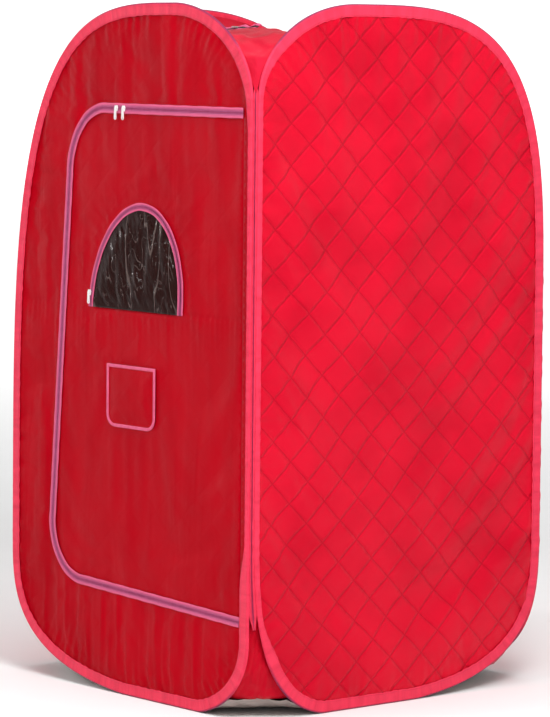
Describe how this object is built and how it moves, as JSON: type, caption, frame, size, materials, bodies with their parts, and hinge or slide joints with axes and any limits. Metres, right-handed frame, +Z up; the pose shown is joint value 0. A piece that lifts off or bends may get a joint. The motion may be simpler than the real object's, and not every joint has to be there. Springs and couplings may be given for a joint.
{
  "type": "portable steam sauna tent",
  "caption": "Tall red pop-up steam sauna tent with four spring-wire walls, a zipped door with a clear arched window and a pocket, and a sagging roof.",
  "frame": {"origin": "middle of the footprint on the floor", "axes": "+Z up, the front wall with the door faces -Y, the door's free edge is towards -X"},
  "size_m": [1.02, 1.0272, 1.8],
  "materials": {
    "front_fabric": "satin coated polyester",
    "quilted_fabric": "satin, quilted in diamonds",
    "rim_fabric": "plain woven binding",
    "roof_fabric": "thin wrinkled polyester",
    "floor_fabric": "matt coated",
    "zip_tape": "woven zip tape",
    "clear_vinyl": "clear, creased",
    "white_enamel": "gloss",
    "spring_steel": "drawn wire",
    "inlet_rubber": "matt"
  },
  "bodies": {
    "front_wall": {"front_wire_loop": "spring_steel", "front_wire_ferrule": "spring_steel", "front_rim_sleeve": "rim_fabric", "front_panel": "front_fabric", "door_zip_frame_tape": "zip_tape", "corner_seam_front_right": "rim_fabric", "corner_seam_front_left": "rim_fabric", "roof_panel": "roof_fabric", "roof_zip_tape": "zip_tape", "roof_zip_slider": "white_enamel", "floor_panel": "floor_fabric", "base_gusset_front_right": "front_fabric", "base_gusset_front_left": "front_fabric"},
    "right_wall": {"right_wire_loop": "spring_steel", "right_wire_ferrule": "spring_steel", "right_rim_sleeve": "rim_fabric", "right_panel": "quilted_fabric", "corner_seam_back_right": "rim_fabric"},
    "back_wall": {"back_wire_loop": "spring_steel", "back_wire_ferrule": "spring_steel", "back_rim_sleeve": "rim_fabric", "back_panel": "quilted_fabric", "base_gusset_back_right": "front_fabric", "base_gusset_back_left": "front_fabric"},
    "left_wall": {"left_wire_loop": "spring_steel", "left_wire_ferrule": "spring_steel", "left_rim_sleeve": "rim_fabric", "left_panel": "quilted_fabric", "steam_inlet_collar": "inlet_rubber", "corner_seam_back_left": "rim_fabric"},
    "door": {"door_panel": "front_fabric", "door_zip_leaf_tape": "zip_tape", "pocket_patch": "front_fabric", "pocket_binding": "zip_tape", "window_zip_frame_tape": "zip_tape"},
    "door_slider_right": {"door_slider_right": "white_enamel"},
    "door_pull_right": {"door_pull_right": "white_enamel"},
    "door_slider_left": {"door_slider_left": "white_enamel"},
    "door_pull_left": {"door_pull_left": "white_enamel"},
    "window": {"window_sheet": "clear_vinyl", "window_zip_flap_tape": "zip_tape"},
    "window_slider": {"window_slider": "white_enamel"},
    "window_pull": {"window_pull": "white_enamel"}
  },
  "joints": [
    {"name": "fold", "type": "hinge", "parent": "front_wall", "child": "right_wall", "pos_m": [0.5, -0.5, 0.9], "axis": [0, 0, 1], "range_deg": [0, 84], "deforming": ["roof_panel", "roof_zip_tape", "roof_zip_slider", "floor_panel", "base_gusset_front_right", "base_gusset_front_left", "base_gusset_back_right", "base_gusset_back_left"]},
    {"name": "fold_left", "type": "hinge", "parent": "front_wall", "child": "left_wall", "pos_m": [-0.5, -0.5, 0.9], "axis": [0, 0, 1], "range_deg": [0, 84]},
    {"name": "fold_back", "type": "hinge", "parent": "right_wall", "child": "back_wall", "pos_m": [0.5, 0.5, 0.9], "axis": [0, 0, 1], "range_deg": [-84, 0]},
    {"name": "door_hinge", "type": "hinge", "parent": "front_wall", "child": "door", "pos_m": [0.463, -0.512, 0.9], "axis": [0, 0, -1], "range_deg": [-160, 0]},
    {"name": "window_hinge", "type": "hinge", "parent": "door", "child": "window", "pos_m": [0.034, -0.5095, 1.004], "axis": [-1, 0, 0], "range_deg": [-150, 0]},
    {"name": "door_slider_right_travel", "type": "slide", "parent": "door", "child": "door_slider_right", "axis": [1, 0, 0], "range_m": [0, 0.44]},
    {"name": "door_slider_left_travel", "type": "slide", "parent": "door", "child": "door_slider_left", "axis": [-1, 0, 0], "range_m": [0, 0.045]},
    {"name": "door_pull_right_swing", "type": "hinge", "parent": "door_slider_right", "child": "door_pull_right", "pos_m": [-0.015, -0.5147, 1.5305], "axis": [-1, 0, 0], "range_deg": [0, 150]},
    {"name": "door_pull_left_swing", "type": "hinge", "parent": "door_slider_left", "child": "door_pull_left", "pos_m": [-0.046, -0.5147, 1.5305], "axis": [-1, 0, 0], "range_deg": [0, 150]},
    {"name": "window_slider_travel", "type": "slide", "parent": "window", "child": "window_slider", "axis": [0.101, 0, 0.9949], "range_m": [0, 0.04]},
    {"name": "window_pull_swing", "type": "hinge", "parent": "window_slider", "child": "window_pull", "pos_m": [-0.1536, -0.5162, 1.0475], "axis": [-1, 0, 0], "range_deg": [0, 150]}
  ],
  "couplings": [
    {"joint": "fold_left", "follows": "fold", "ratio": 1},
    {"joint": "fold_back", "follows": "fold", "ratio": -1}
  ]
}
